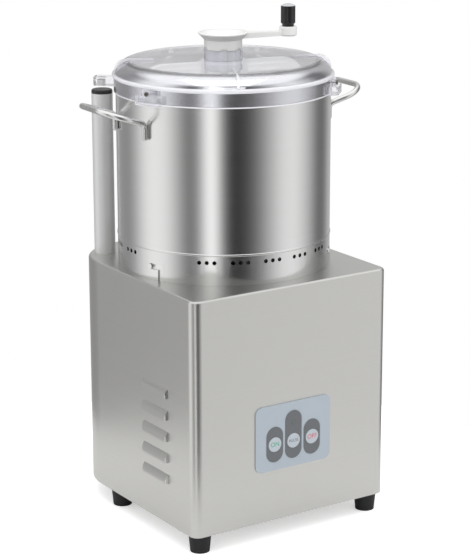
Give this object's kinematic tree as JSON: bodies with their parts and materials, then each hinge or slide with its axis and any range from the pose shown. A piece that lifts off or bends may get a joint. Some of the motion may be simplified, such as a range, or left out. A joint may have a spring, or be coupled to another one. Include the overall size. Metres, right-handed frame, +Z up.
{
  "type": "vertical bowl food cutter",
  "caption": "Vertical food cutter: steel motor housing on rubber feet, twist-off steel bowl with sickle knives, clear lid with hand-cranked wall scraper and feed funnel.",
  "frame": {"origin": "on the bowl and motor axis, at the level of the table under the feet", "axes": "+X to the machine's right, -Y to the front with the control panel, +Z up"},
  "size_m": [0.4226, 0.3502, 0.7225],
  "materials": {
    "housing_steel": "brushed stainless sheet",
    "bowl_steel": "satin stainless, polished rim",
    "polished_steel": "polished stainless rim",
    "rod_steel": "polished stainless rod",
    "bright_steel": "turned steel",
    "blade_steel": "ground blade steel",
    "core_steel": "dark laminated steel",
    "cast_alloy": "cast and turned aluminium",
    "post_alloy": "satin anodised tube",
    "winding_copper": "enamelled copper",
    "painted_sheet": "satin paint",
    "foot_rubber": "matte rubber",
    "seal_rubber": "matte rubber",
    "panel_film": "fine matte film",
    "bezel_film": "printed film",
    "key_film": "domed film key",
    "lamp_lens": "clear lens",
    "circuit_board": "lacquered board",
    "black_plastic": "moulded, satin",
    "white_plastic": "moulded, semi-gloss",
    "milk_plastic": "milky translucent",
    "cap_plastic": "pale grey cap",
    "clear_plastic": "clear moulded plastic"
  },
  "bodies": {
    "base": {"housing": "housing_steel", "base_plate": "housing_steel", "foot_front_left": "foot_rubber", "foot_front_right": "foot_rubber", "foot_rear_left": "foot_rubber", "foot_rear_right": "foot_rubber", "base_screws": "bright_steel", "control_panel": "panel_film", "key_bezels": "bezel_film", "signal_lamp": "lamp_lens", "control_board": "circuit_board", "key_switches": "black_plastic", "run_capacitor": "black_plastic", "cable_gland": "black_plastic", "motor_flange": "cast_alloy", "motor_casing": "cast_alloy", "motor_end_bell": "cast_alloy", "stator_core": "core_steel", "stator_windings": "winding_copper", "shaft_bearings": "bright_steel", "shaft_seal": "seal_rubber", "fan_cowl": "painted_sheet", "locating_ring": "bright_steel", "bayonet_pins": "bright_steel", "sensor_post": "post_alloy", "post_cap": "black_plastic", "reed_switch": "white_plastic"},
    "rotor": {"motor_shaft": "bright_steel", "rotor_core": "core_steel", "cooling_fan": "black_plastic", "drive_pin": "bright_steel", "knife_hub": "cast_alloy", "lower_blade": "blade_steel", "blade_spacer": "cast_alloy", "upper_blade": "blade_steel", "lock_knob": "black_plastic"},
    "bowl": {"bowl_shell": "bowl_steel", "bowl_rim": "polished_steel", "bowl_floor": "bowl_steel", "bowl_chimney": "bowl_steel", "bowl_skirt": "bowl_steel", "handle_left": "rod_steel", "handle_right": "rod_steel"},
    "lid": {"lid": "clear_plastic", "lid_collar": "clear_plastic", "lid_catches": "clear_plastic", "catch_screws": "bright_steel", "magnet_block": "clear_plastic", "lid_magnet": "core_steel"},
    "scraper": {"feed_tube": "milk_plastic", "scraper_hub": "milk_plastic", "scraper_arms": "white_plastic", "wiper_strips": "milk_plastic", "crank_head": "white_plastic", "crank_pin": "bright_steel"},
    "knob": {"knob_grip": "black_plastic", "knob_cap": "cap_plastic"},
    "on_key": {"key_on": "key_film"},
    "pulse_key": {"key_pulse": "key_film"},
    "off_key": {"key_off": "key_film"}
  },
  "joints": [
    {"name": "knife_spin", "type": "hinge", "parent": "base", "child": "rotor", "pos_m": [0, 0, 0.36], "axis": [0, 0, 1], "continuous": true},
    {"name": "bowl_twist", "type": "hinge", "parent": "base", "child": "bowl", "pos_m": [0, 0, 0.36], "axis": [0, 0, 1], "range_deg": [-6.6, 0]},
    {"name": "lid_lift", "type": "slide", "parent": "bowl", "child": "lid", "axis": [0, 0, 1], "range_m": [0, 0.14]},
    {"name": "scraper_turn", "type": "hinge", "parent": "lid", "child": "scraper", "pos_m": [0, 0, 0.65], "axis": [0, 0, 1], "continuous": true},
    {"name": "knob_spin", "type": "hinge", "parent": "scraper", "child": "knob", "pos_m": [0.07794, -0.045, 0.7], "axis": [0, 0, 1], "continuous": true},
    {"name": "on_key_press", "type": "slide", "parent": "base", "child": "on_key", "axis": [0, 1, 0], "range_m": [0, 0.0012], "stiffness_N_per_m": 400},
    {"name": "pulse_key_press", "type": "slide", "parent": "base", "child": "pulse_key", "axis": [0, 1, 0], "range_m": [0, 0.0012], "stiffness_N_per_m": 400},
    {"name": "off_key_press", "type": "slide", "parent": "base", "child": "off_key", "axis": [0, 1, 0], "range_m": [0, 0.0012], "stiffness_N_per_m": 400}
  ]
}
